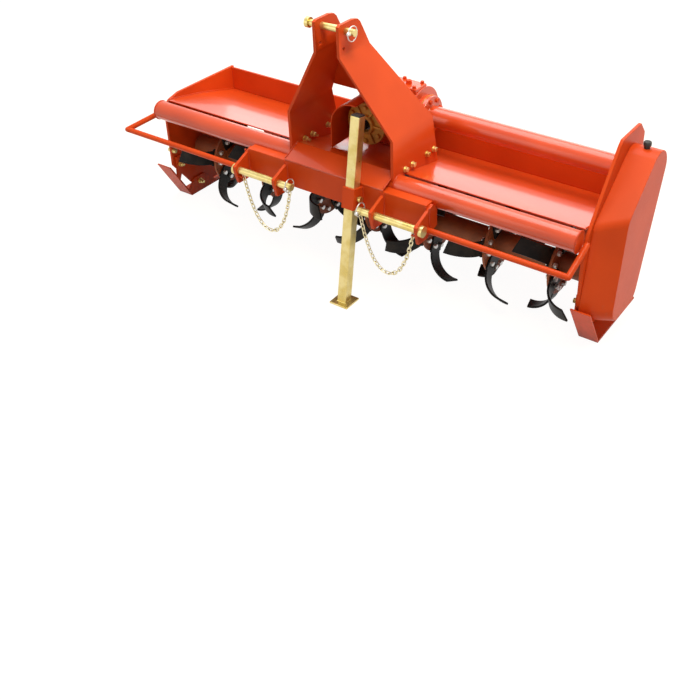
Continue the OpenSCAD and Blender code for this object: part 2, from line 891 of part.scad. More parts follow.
place() front_tube();
place() deck();
place() rear_rail();
place() side_plate();
place() case_plate();
place() case_cover();
place() case_breather();
place() skid_left();
place() skid_right();
place() hitch_beam();
place() hitch_left();
place() hitch_right();
place() mast_left();
place() mast_right();
place() mast_back();
place() mast_floor();
place() gearbox();
place() gearbox_cap();
place() input_shield();
place() drive_tube();
place() rotor_bearing();
place() guard_left();
place() guard_right();
place() stand_sleeve();
place() stand_bolt();
place() lower_pin_left();
place() lower_pin_right();
place() top_pin();
place() linch_left();
place() linch_right();
place() linch_top();
place() chain_left();
place() chain_right();
place() hinge_rod();
place() rotor_shaft();
place() tines_left();
place() tines_right();
place() input_shaft();
place() stand();
place() tailboard();
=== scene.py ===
import json
import math

import bmesh
import bpy
from mathutils import Matrix, Vector


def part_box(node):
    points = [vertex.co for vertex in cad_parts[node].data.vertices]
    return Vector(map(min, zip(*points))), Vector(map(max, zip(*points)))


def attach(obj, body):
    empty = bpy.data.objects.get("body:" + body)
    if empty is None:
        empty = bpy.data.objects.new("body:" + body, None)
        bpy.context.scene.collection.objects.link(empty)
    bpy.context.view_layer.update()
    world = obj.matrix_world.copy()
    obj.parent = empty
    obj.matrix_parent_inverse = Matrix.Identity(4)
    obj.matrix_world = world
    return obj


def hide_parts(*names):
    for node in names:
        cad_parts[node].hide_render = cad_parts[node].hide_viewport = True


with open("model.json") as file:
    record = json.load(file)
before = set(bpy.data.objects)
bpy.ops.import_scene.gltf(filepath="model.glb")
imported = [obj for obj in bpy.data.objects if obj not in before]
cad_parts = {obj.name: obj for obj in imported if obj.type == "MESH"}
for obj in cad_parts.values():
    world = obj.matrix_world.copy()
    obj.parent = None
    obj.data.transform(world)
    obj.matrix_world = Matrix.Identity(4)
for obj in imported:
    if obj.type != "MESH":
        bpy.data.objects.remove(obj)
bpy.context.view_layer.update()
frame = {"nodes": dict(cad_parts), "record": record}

# A red rotary cultivator for a three-point hitch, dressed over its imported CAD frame.
# New pieces are drawn in millimetres from the ground under the middle of the mast:
# X to the chain case, Y to the rear, Z up. Finishes and lights are in the frame's own metres.

MM = 0.001
FRONT_TUBE_Y = 160
tube_low, tube_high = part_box("front_tube")
tube_middle = (tube_low + tube_high) / 2
MAST_MIDDLE = Vector((tube_middle.x, tube_middle.y - FRONT_TUBE_Y * MM, 0))
DRAWING = Matrix.Translation(MAST_MIDDLE) @ Matrix.Scale(MM, 4)

LEFT = Vector((-1, 0, 0))
RIGHT = Vector((1, 0, 0))
FRONT = Vector((0, -1, 0))
REAR = Vector((0, 1, 0))
UP = Vector((0, 0, 1))


def span(node):
    """A node's lowest and highest corner on the drawing."""
    return [(corner - MAST_MIDDLE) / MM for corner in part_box(node)]


def middle(node):
    """The middle of a node on the drawing."""
    low, high = span(node)
    return (low + high) / 2


# Axes and faces of the frame, on the drawing

FRONT_TUBE = middle("front_tube")
DRIVE = middle("drive_tube")
ROTOR = middle("rotor_shaft")
PLATE_IN, PLATE_OUT = (corner.x for corner in span("case_plate"))
HITCH_IN, HITCH_OUT = (corner.x for corner in span("hitch_right"))
SKID_IN = span("skid_right")[0].x
BEAM_FRONT = span("hitch_beam")[0].y
HEADSTOCK_PLATE = 12
MAST_OUT = span("mast_right")[1].x
MAST_IN = MAST_OUT - HEADSTOCK_PLATE
HOUSING_FRONT = Vector((0, span("gearbox_cap")[0].y, DRIVE.z))
GEARBOX_END = Vector((span("gearbox")[0].x, DRIVE.y, DRIVE.z))
GEARBOX_TOP = span("gearbox")[1].z
DRIVE_START = Vector((span("drive_tube")[0].x, DRIVE.y, DRIVE.z))
BEARING_END = Vector((span("rotor_bearing")[0].x, ROTOR.y, ROTOR.z))
SHAFT_TIP = Vector((0, span("input_shaft")[0].y, DRIVE.z))


# Shader maths

class Socket:
    """A shader socket that plain arithmetic works on."""

    def __init__(self, nodes, socket):
        self.nodes = nodes
        self.socket = socket

    def math(self, operation, first, second):
        return self.nodes.node("Math", {"operation": operation}, {0: first, 1: second})

    def __add__(self, other):
        return self.math("ADD", self, other)

    def __radd__(self, other):
        return self.math("ADD", other, self)

    def __sub__(self, other):
        return self.math("SUBTRACT", self, other)

    def __rsub__(self, other):
        return self.math("SUBTRACT", other, self)

    def __mul__(self, other):
        return self.math("MULTIPLY", self, other)

    def __rmul__(self, other):
        return self.math("MULTIPLY", other, self)


class Nodes:
    """The node tree of a finish or of the sky."""

    def __init__(self, tree):
        self.tree = tree

    def node(self, kind, settings, values, output=0):
        """Adds one node: its settings first, then the values or links of its sockets."""
        made = self.tree.nodes.new("ShaderNode" + kind)
        for name, value in settings.items():
            setattr(made, name, value)
        for name, value in values.items():
            self.feed(made.inputs[name], value)
        return Socket(self, made.outputs[output])

    def feed(self, target, value):
        """Links a socket, or sets its plain value."""
        if isinstance(value, Socket):
            self.tree.links.new(value.socket, target)
        elif target.type == "RGBA":
            target.default_value = (*value, 1)
        else:
            target.default_value = value

    def shown(self):
        """1 to the camera, in gloss and through glass, and 0 to rays that only carry light."""
        kinds = ("Camera", "Glossy", "Transmission")
        return sum(self.node("LightPath", {}, {}, "Is " + kind + " Ray") for kind in kinds)


class Finish(Nodes):
    """A procedural material on Object coordinates."""

    def __init__(self, name):
        self.material = bpy.data.materials.new(name)
        self.material.use_nodes = True
        super().__init__(self.material.node_tree)
        self.shader = self.tree.nodes["Principled BSDF"]
        self.place = self.node("TexCoord", {}, {}, "Object")

    def surface(self, values):
        """Feeds the shader's sockets by their names."""
        for name, value in values.items():
            self.feed(self.shader.inputs[name], value)
        return self.material

    def noise(self, scale, detail=3.0, roughness=0.5, stretch=None):
        """Grey noise with that many grains in a metre, longer where its stretch is under 1."""
        place = self.place
        if stretch:
            place = self.node("Mapping", {}, {"Vector": self.place, "Scale": stretch})
        grains = {"Vector": place, "Scale": scale, "Detail": detail, "Roughness": roughness}
        return self.node("TexNoise", {}, grains, "Fac")

    def step(self, value, low, high):
        """0 below low, 1 above high, and smooth between them."""
        return self.node("MapRange", {"interpolation_type": "SMOOTHSTEP"},
                         {"Value": value, "From Min": low, "From Max": high})

    def height(self, low, high):
        """0 at one height over the ground and 1 at another, in metres."""
        up = self.node("SeparateXYZ", {}, {"Vector": self.place}, "Z")
        return self.step(up, low, high)

    def mix(self, share, first, second):
        """One colour into another by a share."""
        return self.node("Mix", {"data_type": "RGBA"}, {"Factor": share, 6: first, 7: second}, 2)

    def bump(self, height, strength):
        """A relief one millimetre deep at full strength."""
        return self.node("Bump", {}, {"Height": height, "Strength": strength, "Distance": MM}, "Normal")


# Finishes

def sprayed_paint(name, colour, shade, gloss):
    """Thick sprayed paint: orange peel, faint runs of tone, dust low down and a few chips."""
    soil_colour = (0.30, 0.17, 0.10)
    chip_colour = (0.12, 0.05, 0.03)
    dusty_height = 0.55
    f = Finish(name)
    tone = f.noise(4.0, 2.0)
    peel = f.noise(420.0, 2.0)
    dust = f.noise(70.0, 6.0, 0.66)
    chips = f.step(f.noise(95.0, 6.0, 0.68), 0.745, 0.765)
    soil = f.step(dust * (1.25 - f.height(0.0, dusty_height)), 0.50, 0.90) * 0.3
    coat = f.mix(f.step(tone, 0.3, 0.7), colour, shade)
    dirty = f.mix(soil, coat, soil_colour)
    return f.surface({
        "Base Color": f.mix(chips * 0.7, dirty, chip_colour),
        "Roughness": 0.36 - 0.2 * gloss + 0.10 * dust + 0.35 * soil,
        "Coat Weight": gloss * (1.0 - 0.8 * soil),
        "Coat Roughness": 0.08,
        "Specular IOR Level": 0.12 + 0.5 * gloss,
        "Normal": f.bump(peel - 0.5 * chips, 0.055),
    })


def plated(name, colour, pale, tint, rough):
    """Zinc plating with drifting tints and fine draw lines."""
    f = Finish(name)
    drift = f.noise(22.0, 3.0)
    grain = f.noise(900.0, 2.0, 0.5, (1, 1, 0.08))
    spots = f.step(f.noise(130.0, 4.0, 0.6), 0.6, 0.72)
    coat = f.mix(f.step(drift, 0.35, 0.65), colour, pale)
    return f.surface({
        "Base Color": f.mix(spots * 0.45, coat, tint),
        "Metallic": 0.82,
        "Roughness": rough + 0.16 * drift + 0.12 * spots,
        "Normal": f.bump(grain, 0.05),
    })


def satin_black(name):
    """Dipped black paint on forged blades, with cloudy tone and grey rubs."""
    black = (0.008, 0.008, 0.009)
    thin_black = (0.026, 0.024, 0.023)
    rubbed_grey = (0.10, 0.09, 0.08)
    f = Finish(name)
    cloud = f.noise(18.0, 4.0)
    rub = f.step(f.noise(60.0, 6.0, 0.7, (0.4, 1, 1)), 0.60, 0.70)
    scale = f.noise(260.0, 3.0)
    coat = f.mix(f.step(cloud, 0.35, 0.7), black, thin_black)
    return f.surface({
        "Base Color": f.mix(rub * 0.25, coat, rubbed_grey),
        "Metallic": 0.15 * rub,
        "Roughness": 0.30 + 0.22 * cloud,
        "Specular IOR Level": 0.12,
        "Normal": f.bump(scale + rub * 0.4, 0.10),
    })


def primed_cast(name, colour, shade, coarse):
    """Sand-cast iron under thin primer."""
    pit_colour = (0.08, 0.04, 0.015)
    f = Finish(name)
    sand = f.noise(coarse, 4.0, 0.6)
    stain = f.noise(14.0, 4.0)
    coat = f.mix(f.step(stain, 0.35, 0.68), colour, shade)
    return f.surface({
        "Base Color": f.mix(f.step(sand, 0.62, 0.8) * 0.5, coat, pit_colour),
        "Roughness": 0.46 + 0.22 * stain,
        "Specular IOR Level": 0.45,
        "Normal": f.bump(sand, 0.22),
    })


def oiled_steel(name):
    """Oiled machined steel with turning marks round the input shaft."""
    steel = (0.10, 0.10, 0.10)
    oily = (0.03, 0.028, 0.026)
    f = Finish(name)
    marks = f.noise(700.0, 2.0, 0.5, (0.1, 1, 0.1))
    oil = f.noise(45.0, 4.0)
    return f.surface({
        "Base Color": f.mix(f.step(oil, 0.4, 0.65), steel, oily),
        "Metallic": 0.75,
        "Roughness": 0.28 + 0.2 * oil,
        "Normal": f.bump(marks, 0.06),
    })


def moulded_black(name):
    """Matt moulded plastic with a fine grain."""
    black = (0.012, 0.012, 0.013)
    worn_black = (0.03, 0.03, 0.031)
    f = Finish(name)
    grain = f.noise(850.0, 2.0)
    wear = f.noise(40.0, 3.0)
    return f.surface({
        "Base Color": f.mix(wear, black, worn_black),
        "Roughness": 0.5 + 0.15 * wear,
        "Normal": f.bump(grain, 0.12),
    })


RED_COLOUR = (0.66, 0.073, 0.010)
RED_SHADE = (0.57, 0.058, 0.008)
SHINY_RED = sprayed_paint("shiny_red_paint", RED_COLOUR, RED_SHADE, 0.55)
WELD_RED = sprayed_paint("red_weld", (0.58, 0.056, 0.010), (0.48, 0.043, 0.008), 0.2)
PALE_ZINC = plated("pale_zinc", (0.74, 0.67, 0.40), (0.84, 0.80, 0.60), (0.58, 0.53, 0.38), 0.22)

FINISHES = {
    "red_paint": sprayed_paint("red_paint", RED_COLOUR, RED_SHADE, 0.05),
    "yellow_zinc": plated("yellow_zinc", (0.62, 0.49, 0.16), (0.74, 0.63, 0.29), (0.52, 0.45, 0.30), 0.22),
    "bright_steel": plated("bright_zinc", (0.55, 0.55, 0.54), (0.70, 0.70, 0.69), (0.42, 0.42, 0.41), 0.26),
    "black_paint": satin_black("black_paint"),
    "brown_paint": primed_cast("brown_primer", (0.32, 0.085, 0.024), (0.23, 0.06, 0.02), 300.0),
    "ochre_paint": primed_cast("ochre_casting", (0.60, 0.27, 0.030), (0.36, 0.145, 0.018), 210.0),
    "dark_steel": oiled_steel("dark_steel"),
    "dark_iron": primed_cast("dark_iron", (0.075, 0.072, 0.07), (0.05, 0.048, 0.046), 240.0),
    "black_plastic": moulded_black("black_plastic"),
}
SLOTS = {part["node"]: part["material_slot"] for part in frame["record"]["subparts"]}

for node, thing in frame["nodes"].items():
    thing.data.materials.clear()
    thing.data.materials.append(PALE_ZINC if node.startswith("chain") else FINISHES[SLOTS[node]])


# Making pieces

PLAIN_CREASE = 20
TURNED_CREASE = 35
ROUND_CREASE = 60
FOLD_CREASE = 2
FLAT_WEIGHT = 80


def finished(shape, name, body, slot, finish=None, crease=PLAIN_CREASE):
    """Turns a bmesh into a piece that rides on a body, smooth but for its creases in degrees."""
    mesh = bpy.data.meshes.new(name)
    shape.to_mesh(mesh)
    shape.free()
    mesh.polygons.foreach_set("use_smooth", [True] * len(mesh.polygons))
    mesh.set_sharp_from_angle(angle=math.radians(crease))
    mesh.materials.append(finish or FINISHES[slot])
    piece = bpy.data.objects.new(name, mesh)
    bpy.context.scene.collection.objects.link(piece)
    flats = piece.modifiers.new("flats", "WEIGHTED_NORMAL")
    flats.mode = "FACE_AREA"
    flats.weight = FLAT_WEIGHT
    flats.keep_sharp = True
    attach(piece, body)
    return piece


def modelled(shape, name, body, slot, finish=None, crease=PLAIN_CREASE):
    """A piece that is drawn here, set into the frame with its faces turned outwards."""
    bmesh.ops.transform(shape, verts=shape.verts, matrix=DRAWING)
    bmesh.ops.recalc_face_normals(shape, faces=shape.faces)
    return finished(shape, name, body, slot, finish, crease)


def facing(place, axis):
    """Stands a shape that is made along Z at a place, with its top towards an axis."""
    return Matrix.Translation(place) @ Vector(axis).to_track_quat("Z", "Y").to_matrix().to_4x4()


def edges_of(verts):
    """The edges that meet some vertices, each once."""
    return list(dict.fromkeys(e for v in verts for e in v.link_edges))


def bevel(shape, edges, width, segments, clamp=False):
    """Rounds edges, or chamfers them with one segment."""
    bmesh.ops.bevel(shape, geom=edges, offset=width, offset_type="OFFSET", affect="EDGES",
                    segments=segments, profile=0.5, material=-1, clamp_overlap=clamp)


def rounded(node, width, shortest=0.0):
    """A copy of a CAD node with its sharp edges rounded, but for edges shorter than a length."""
    sharp_angle, flat_angle = 0.6, 0.01
    merge_reach = 0.02 * MM
    shape = bmesh.new()
    shape.from_mesh(frame["nodes"][node].data)
    bmesh.ops.remove_doubles(shape, verts=shape.verts, dist=merge_reach)
    bmesh.ops.dissolve_limit(shape, angle_limit=flat_angle, verts=shape.verts, edges=shape.edges)
    sharp = [e for e in shape.edges if e.is_manifold and e.calc_face_angle(0) > sharp_angle]
    long = [e for e in sharp if e.calc_length() > shortest * MM]
    bevel(shape, long, width * MM, segments=2, clamp=True)
    bmesh.ops.triangulate(shape, faces=[f for f in shape.faces if len(f.verts) > 4])
    return shape


def eased(node, body, width, shortest=0.0, finish=None, crease=PLAIN_CREASE):
    """A node's rounded copy, in the node's place."""
    piece = finished(rounded(node, width, shortest), node + "_eased", body, SLOTS[node], finish, crease)
    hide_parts(node)


def add_bar(shape, seat, length, radius, segments, base=0.0, tip_share=1.0):
    """A bar that stands on a seat, or at a height over it. Returns its vertices."""
    stand = seat @ Matrix.Translation((0, 0, base + length / 2))
    bar = bmesh.ops.create_cone(shape, cap_ends=True, segments=segments, radius1=radius,
                                radius2=radius * tip_share, depth=length, matrix=stand)
    return bar["verts"]


def add_block(shape, seat, size, width, segments):
    """A box with rounded edges, round the middle of its seat."""
    block = bmesh.ops.create_cube(shape, size=1, matrix=seat @ Matrix.Diagonal((*size, 1)))
    bevel(shape, edges_of(block["verts"]), width, segments)


def spun(shape, edges, before, steps):
    """Spins edges once round Z, and returns the vertices that are new since before."""
    bmesh.ops.spin(shape, geom=edges, axis=UP, cent=(0, 0, 0), angle=math.tau, steps=steps, use_merge=True)
    return [v for v in shape.verts if v not in before]


def add_ring(shape, place, axis, radius, thick):
    """A round ring, such as a bead round a tube where it meets a plate."""
    before = set(shape.verts)
    section = Matrix.Translation((radius, 0, 0)) @ Matrix.Rotation(math.pi / 2, 4, "X")
    ring = bmesh.ops.create_circle(shape, segments=8, radius=thick, matrix=section)["verts"]
    grown = spun(shape, edges_of(ring), before, steps=40)
    bmesh.ops.transform(shape, verts=grown, matrix=facing(place, axis))


def add_turned(shape, outline, place, axis, steps=32):
    """A turned shape from its outline of radius and height, open at neither end."""
    merge_reach = 0.01
    before = set(shape.verts)
    points = [bmesh.ops.create_vert(shape, co=(radius, 0, height))["vert"][0] for radius, height in outline]
    pairs = zip(points, points[1:])
    edges = [bmesh.ops.contextual_create(shape, geom=[a, b])["edges"][0] for a, b in pairs]
    bmesh.ops.remove_doubles(shape, verts=spun(shape, edges, before, steps), dist=merge_reach)
    grown = [v for v in shape.verts if v not in before]
    bmesh.ops.transform(shape, verts=grown, matrix=facing(place, axis))


def add_bead(shape, start, end, thick):
    """A rippled weld bead along a straight joint."""
    ripple = 1.22
    ripple_share = 1.2
    start = Vector(start)
    run = Vector(end) - start
    steps = max(3, round(run.length / (ripple_share * thick)))
    ring = bmesh.ops.create_circle(shape, segments=8, radius=thick, matrix=facing(start, run))["verts"]
    edges = edges_of(ring)
    bmesh.ops.holes_fill(shape, edges=edges, sides=0)
    for i in range(1, steps + 1):
        grown = bmesh.ops.extrude_edge_only(shape, edges=edges)["geom"]
        verts = [g for g in grown if isinstance(g, bmesh.types.BMVert)]
        edges = [g for g in grown if isinstance(g, bmesh.types.BMEdge)]
        bmesh.ops.translate(shape, verts=verts, vec=run / steps)
        swell = ripple if i % 2 else 1 / ripple
        bmesh.ops.scale(shape, verts=verts, vec=(swell, swell, swell),
                        space=Matrix.Translation(-(start + run * i / steps)))
    bmesh.ops.holes_fill(shape, edges=edges, sides=0)


# Plates, tubes and castings with rounded edges

PLATE_EDGE = 1.6
STAND_EDGE = 2.5
SHEET_EDGE = 1.5
FINE_EDGE = 1.2
BORE_FACET = 6

for node in ("rear_rail", "case_cover", "skid_left", "skid_right",
             "hitch_beam", "hitch_left", "hitch_right", "mast_left", "mast_right", "mast_back",
             "stand_sleeve", "gearbox_cap", "rotor_bearing", "input_shield",
             "lower_pin_left", "lower_pin_right", "top_pin"):
    eased(node, "frame", PLATE_EDGE)
for node in ("front_tube", "gearbox", "drive_tube"):
    eased(node, "frame", PLATE_EDGE, finish=SHINY_RED)
for node in ("deck", "mast_floor"):
    eased(node, "frame", PLATE_EDGE, finish=SHINY_RED, crease=FOLD_CREASE)
for node in ("side_plate", "case_plate"):
    eased(node, "frame", PLATE_EDGE, BORE_FACET)
eased("stand", "stand", STAND_EDGE)
eased("tailboard", "tailboard", SHEET_EDGE)
eased("tines_left", "rotor", FINE_EDGE)
eased("tines_right", "rotor", FINE_EDGE)


# Rods and journals in their bores

SLIM_SHARE = 0.98


def slimmed(shape, verts, axis, share):
    """Draws round stretches in towards an axis along X, so that their facets turn clear of the bores."""
    bmesh.ops.scale(shape, verts=verts, vec=(1, share, share), space=Matrix.Translation(-axis))


def hinge_rod():
    """The tailboard's hinge rod, slimmer in its lugs."""
    shape = rounded("hinge_rod", FINE_EDGE)
    slimmed(shape, shape.verts[:], DRAWING @ middle("hinge_rod"), SLIM_SHARE)
    piece = finished(shape, "hinge_rod_eased", "frame", SLOTS["hinge_rod"])
    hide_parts("hinge_rod")


def rotor():
    """The rotor's tube and flanges, with slimmer journals that taper to their ends."""
    journal_reach = 25.5 * MM
    end_reach = 0.5 * MM
    taper_share = 0.94
    shape = rounded("rotor_shaft", FINE_EDGE, BORE_FACET)
    axis = DRAWING @ ROTOR
    low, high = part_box("rotor_shaft")
    journals = [v for v in shape.verts if math.hypot(v.co.y - axis.y, v.co.z - axis.z) < journal_reach]
    ends = [v for v in journals if v.co.x < low.x + end_reach or v.co.x > high.x - end_reach]
    slimmed(shape, journals, axis, SLIM_SHARE)
    slimmed(shape, ends, axis, taper_share)
    piece = finished(shape, "rotor_shaft_eased", "rotor", "brown_paint")
    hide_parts("rotor_shaft")


def splined_shaft():
    """Six-spline shaft end with a locking groove, and its plain journal."""
    root, ridge, free = 14.8, 17.5, 71
    facets, facets_a_spline = 36, 6
    groove_low, groove_high, groove_slope = 8, 18, 2
    groove_share, tip_share = 0.84, 0.92
    journal_radius, journal, gap = 22.4, 83, 0.3
    near = 0.5
    shape = bmesh.new()
    bmesh.ops.create_cone(shape, cap_ends=True, segments=facets, radius1=root, radius2=root, depth=free)
    sides = sorted((f for f in shape.faces if len(f.verts) == 4),
                   key=lambda f: math.atan2(f.calc_center_median().y, f.calc_center_median().x))
    splines = [f for i, f in enumerate(sides) if i % facets_a_spline < facets_a_spline / 2]
    grown = bmesh.ops.extrude_face_region(shape, geom=splines)["geom"]
    bmesh.ops.delete(shape, geom=splines, context="FACES")
    verts = [g for g in grown if isinstance(g, bmesh.types.BMVert)]
    bmesh.ops.scale(shape, verts=verts, vec=(ridge / root, ridge / root, 1))
    floor_low, floor_high = groove_low + groove_slope, groove_high - groove_slope
    for level in (groove_low, floor_low, floor_high, groove_high):
        bmesh.ops.bisect_plane(shape, geom=shape.verts[:] + shape.edges[:] + shape.faces[:],
                               plane_co=(0, 0, level), plane_no=UP)
    groove = [v for v in shape.verts if floor_low - near < v.co.z < floor_high + near]
    bmesh.ops.scale(shape, verts=groove, vec=(groove_share, groove_share, 1))
    tip = [v for v in shape.verts if v.co.z > free / 2 - near]
    bmesh.ops.scale(shape, verts=tip, vec=(tip_share, tip_share, 1))
    bmesh.ops.transform(shape, verts=shape.verts, matrix=facing(SHAFT_TIP + free / 2 * REAR, FRONT))
    add_bar(shape, facing(SHAFT_TIP + (free + gap + journal) * REAR, FRONT), journal, journal_radius,
            segments=32)
    piece = modelled(shape, "splined_shaft", "input", "dark_steel")
    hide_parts("input_shaft")


hinge_rod()
rotor()
splined_shaft()


# Bolts, by the width of their heads across the flats

PLATE_HEAD = 19
FLANGE_HEAD = 17
END_HEAD = 15
LID_HEAD = 13
FILLER_HEAD = 20
WASHER_SHARE = 0.14
WASHER_RADIUS_SHARE = 0.62
HEAD_SHARE = 0.62
HEAD_RADIUS_SHARE = 0.54
HEAD_CHAMFER_SHARE = 0.09


def add_bolt(shape, place, axis, across, washer=True):
    """A hexagon head on a face, with its washer where it has one."""
    seat = facing(place, axis)
    thick = WASHER_SHARE * across if washer else 0.0
    near = 0.1
    if washer:
        add_bar(shape, seat, thick, WASHER_RADIUS_SHARE * across, segments=20)
    head = add_bar(shape, seat, HEAD_SHARE * across, HEAD_RADIUS_SHARE * across, segments=6, base=thick)
    top = max(v.co.dot(axis) for v in head)
    crown = [v for v in head if v.co.dot(axis) > top - near]
    rim = [e for e in edges_of(head) if all(v in crown for v in e.verts)]
    bevel(shape, rim, HEAD_CHAMFER_SHARE * across, segments=1)


def add_nut(shape, place, axis, stud):
    """A nut with its washer, and the end of its bolt."""
    stud_radius, stud_base, stud_tip_share = 6, 11, 0.9
    add_bolt(shape, place, axis, PLATE_HEAD)
    add_bar(shape, facing(place, axis), stud, stud_radius, segments=16, base=stud_base,
            tip_share=stud_tip_share)


def ring_of_bolts(shape, place, axis, radius, count, across, start=0.0):
    """Bolts spread round an axis on a flat face."""
    seat = facing(place, axis)
    for i in range(count):
        turn = start + math.tau * i / count
        spot = seat @ Vector((radius * math.cos(turn), radius * math.sin(turn), 0))
        add_bolt(shape, spot, axis, across, washer=False)


def mast_bolts():
    """Bolts through the feet of the mast walls, with their nuts and ends inside."""
    row_y, row_z = (203, 250, 347, 395), 495
    stud = 18
    shape = bmesh.new()
    for side in (-1, 1):
        for y in row_y:
            add_bolt(shape, (side * MAST_OUT, y, row_z), side * RIGHT, PLATE_HEAD)
            add_nut(shape, (side * MAST_IN, y, row_z), side * LEFT, stud)
    modelled(shape, "mast_bolts", "frame", "yellow_zinc")


def skid_bolts():
    """Bolts that hold the skids to the side plates. On the right they end inside the case."""
    skid_places = ((216, 178), (318, 50))
    upper_y, upper_z = 197, 247
    stud = 12
    shape = bmesh.new()
    for y, z in skid_places:
        add_bolt(shape, (SKID_IN, y, z), LEFT, PLATE_HEAD)
        add_bolt(shape, (-PLATE_OUT, y, z), LEFT, PLATE_HEAD)
        add_nut(shape, (-SKID_IN, y, z), RIGHT, stud)
    add_bolt(shape, (-PLATE_IN, upper_y, upper_z), RIGHT, PLATE_HEAD)
    add_bolt(shape, (-PLATE_OUT, upper_y, upper_z), LEFT, PLATE_HEAD)
    modelled(shape, "skid_bolts", "frame", "yellow_zinc")


LID_SIZE = Vector((186, 76, 20))
LID_SINK = 12
LID = Vector((35, 478, GEARBOX_TOP - LID_SINK + LID_SIZE.z / 2))
LID_TOP = LID + LID_SIZE.z / 2 * UP
HOUSING_BOLTS = 6
HOUSING_TURN = 0.5


def drive_bolts():
    """Painted bolts round the drive's flanges and the bearing, on the lid, and the filler plug."""
    tube_flange, tube_circle, tube_bolts, tube_turn = 14, 60, 8, 0.2
    bearing_circle, bearing_bolts = 50, 6
    end_circle, end_bolts = 88, 8
    lid_x, lid_y, filler_x = 79, 28, 37
    shape = bmesh.new()
    tube_face = DRIVE_START + tube_flange * RIGHT
    ring_of_bolts(shape, tube_face, RIGHT, tube_circle, tube_bolts, FLANGE_HEAD, tube_turn)
    ring_of_bolts(shape, BEARING_END, LEFT, bearing_circle, bearing_bolts, FLANGE_HEAD)
    ring_of_bolts(shape, GEARBOX_END, LEFT, end_circle, end_bolts, END_HEAD)
    for x in (-lid_x, 0, lid_x):
        for y in (-lid_y, lid_y):
            add_bolt(shape, LID_TOP + x * RIGHT + y * REAR, UP, LID_HEAD)
    add_bolt(shape, LID_TOP + filler_x * RIGHT, UP, FILLER_HEAD)
    modelled(shape, "drive_bolts", "frame", "red_paint")


def housing_bolts():
    """Bolts round the front of the ochre housing."""
    circle = 66
    shape = bmesh.new()
    ring_of_bolts(shape, HOUSING_FRONT, FRONT, circle, HOUSING_BOLTS, FLANGE_HEAD, HOUSING_TURN)
    modelled(shape, "housing_bolts", "frame", "ochre_paint")


def tine_bolts():
    """Two bolts through each tine's foot and flange, with tines on either side in turn."""
    flanges, flange_pitch, flange_inset = 7, 260, 196
    tines, first_turn, spiral = 6, 16, 24
    circle, spread = 88, 22
    foot_face, grip = 13, 18
    shape = bmesh.new()
    for i in range(flanges):
        flange = flange_pitch * i + flange_inset - PLATE_IN
        for k in range(tines):
            side = 1 if k % 2 == 0 else -1
            turn = math.radians(first_turn - spiral * i + 360 / tines * k)
            out = Vector((0, -math.sin(turn), math.cos(turn)))
            along = Vector((0, math.cos(turn), math.sin(turn)))
            foot = Vector((flange + side * foot_face, ROTOR.y, ROTOR.z)) + circle * out
            for shift in (-spread, spread):
                place = foot + shift * along
                add_bolt(shape, place, side * RIGHT, PLATE_HEAD, washer=False)
                add_bolt(shape, place + side * grip * LEFT, side * LEFT, PLATE_HEAD, washer=False)
    modelled(shape, "tine_bolts", "rotor", "bright_steel")


mast_bolts()
skid_bolts()
drive_bolts()
housing_bolts()
tine_bolts()


# Caps, plugs and seals

def stand_plug():
    """Moulded plug in the upper end of the stand's square tube."""
    top = (110, 99.5, 713)
    lean = math.radians(10)
    size, edge = (36, 36, 10), 3
    shape = bmesh.new()
    add_block(shape, facing(top, (0, math.sin(lean), math.cos(lean))), size, edge, segments=3)
    modelled(shape, "stand_plug", "stand", "black_plastic")


def breather():
    """Vented cap in the top of the chain case, in its node's place."""
    foot = (1009, 505, 663)
    outline = ((0, 0), (10, 0), (10, 8), (13.5, 10), (14, 14), (14, 21), (12, 24.5), (7, 26), (0, 26))
    shape = bmesh.new()
    add_turned(shape, outline, foot, UP)
    piece = modelled(shape, "breather_cap", "frame", "black_plastic", crease=TURNED_CREASE)
    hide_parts("case_breather")


def bearing_cap():
    """Dust cap over the rotor's outer bearing."""
    outline = ((0, 12), (20, 11), (30, 7), (33, 0), (0, 0))
    shape = bmesh.new()
    add_turned(shape, outline, BEARING_END, LEFT)
    modelled(shape, "bearing_cap", "frame", "dark_iron", crease=TURNED_CREASE)


def gearbox_covers():
    """Bolted lid on top of the gearbox, its domed end cover and two cast bands."""
    lid_edge = 4
    band_places = (-86, 92)
    dome = ((0, 14), (40, 12), (58, 7), (70, 6), (72, 0), (0, 0))
    band = ((104, -7), (108, -6), (109.2, -3), (109.2, 3), (108, 6), (104, 7), (104, -7))
    shape = bmesh.new()
    add_block(shape, Matrix.Translation(LID), LID_SIZE, lid_edge, segments=3)
    add_turned(shape, dome, GEARBOX_END, LEFT)
    for x in band_places:
        add_turned(shape, band, (x, DRIVE.y, DRIVE.z), RIGHT, steps=64)
    modelled(shape, "gearbox_covers", "frame", "red_paint", SHINY_RED)


def housing_ribs():
    """Cast ribs and the seal's collar on the ochre housing round the input shaft."""
    collar = ((26, 0), (40, 0), (38, 11), (34, 13), (28, 13), (26, 9), (26, 0))
    rib_size, rib_place, rib_edge = (42, 9, 9), (56, 0, 4), 2
    shape = bmesh.new()
    add_turned(shape, collar, HOUSING_FRONT, FRONT)
    for i in range(HOUSING_BOLTS):
        turn = Matrix.Rotation(HOUSING_TURN + math.tau * (i + 0.5) / HOUSING_BOLTS, 4, "Z")
        seat = facing(HOUSING_FRONT, FRONT) @ turn @ Matrix.Translation(rib_place)
        add_block(shape, seat, rib_size, rib_edge, segments=2)
    modelled(shape, "housing_ribs", "frame", "ochre_paint")


